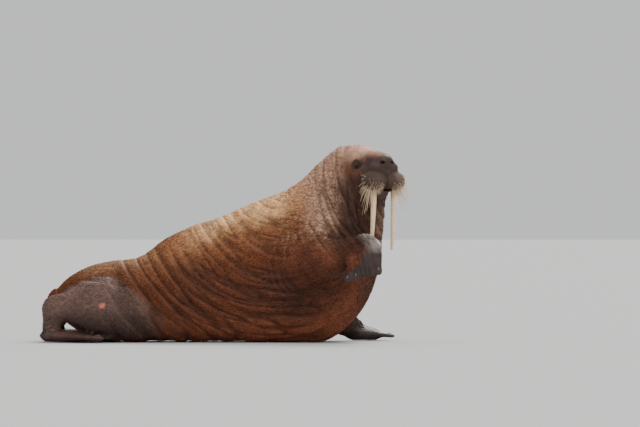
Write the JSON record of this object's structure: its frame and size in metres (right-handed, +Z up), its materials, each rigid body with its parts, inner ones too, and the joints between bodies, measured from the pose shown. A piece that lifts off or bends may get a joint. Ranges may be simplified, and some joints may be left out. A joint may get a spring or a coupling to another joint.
{
  "type": "walrus figure",
  "caption": "Life-size still figure of an adult female walrus hauled out on its belly, head raised and turned to its right, right foreflipper lifted, long tusks and whisker pads.",
  "frame": {"origin": "on the floor under the middle of the whole animal's box", "axes": "+X from the tail to the head, +Y to the animal's left, +Z up"},
  "size_m": [2.672, 1.3608, 1.4408],
  "materials": {
    "hide": "short-haired wrinkled hide",
    "muzzle": "short-haired skin",
    "flipper_skin": "bare grained skin",
    "ivory": "worn tooth ivory",
    "eye": "wet dark eye",
    "whisker": "stiff straw-coloured bristle",
    "nail": "dark horn"
  },
  "bodies": {
    "root": {"head": "muzzle", "nose": "muzzle", "lower_jaw": "muzzle", "right_whisker_pad": "muzzle", "left_whisker_pad": "muzzle", "right_tusk": "ivory", "left_tusk": "ivory", "right_eye": "eye", "left_eye": "eye", "neck": "hide", "chest": "hide", "belly": "hide", "hips": "hide", "tail": "hide", "right_foreleg": "hide", "left_foreleg": "hide", "right_hind_leg": "hide", "left_hind_leg": "hide", "right_foreflipper": "flipper_skin", "left_foreflipper": "flipper_skin", "right_hind_flipper": "flipper_skin", "left_hind_flipper": "flipper_skin"}
  },
  "joints": []
}
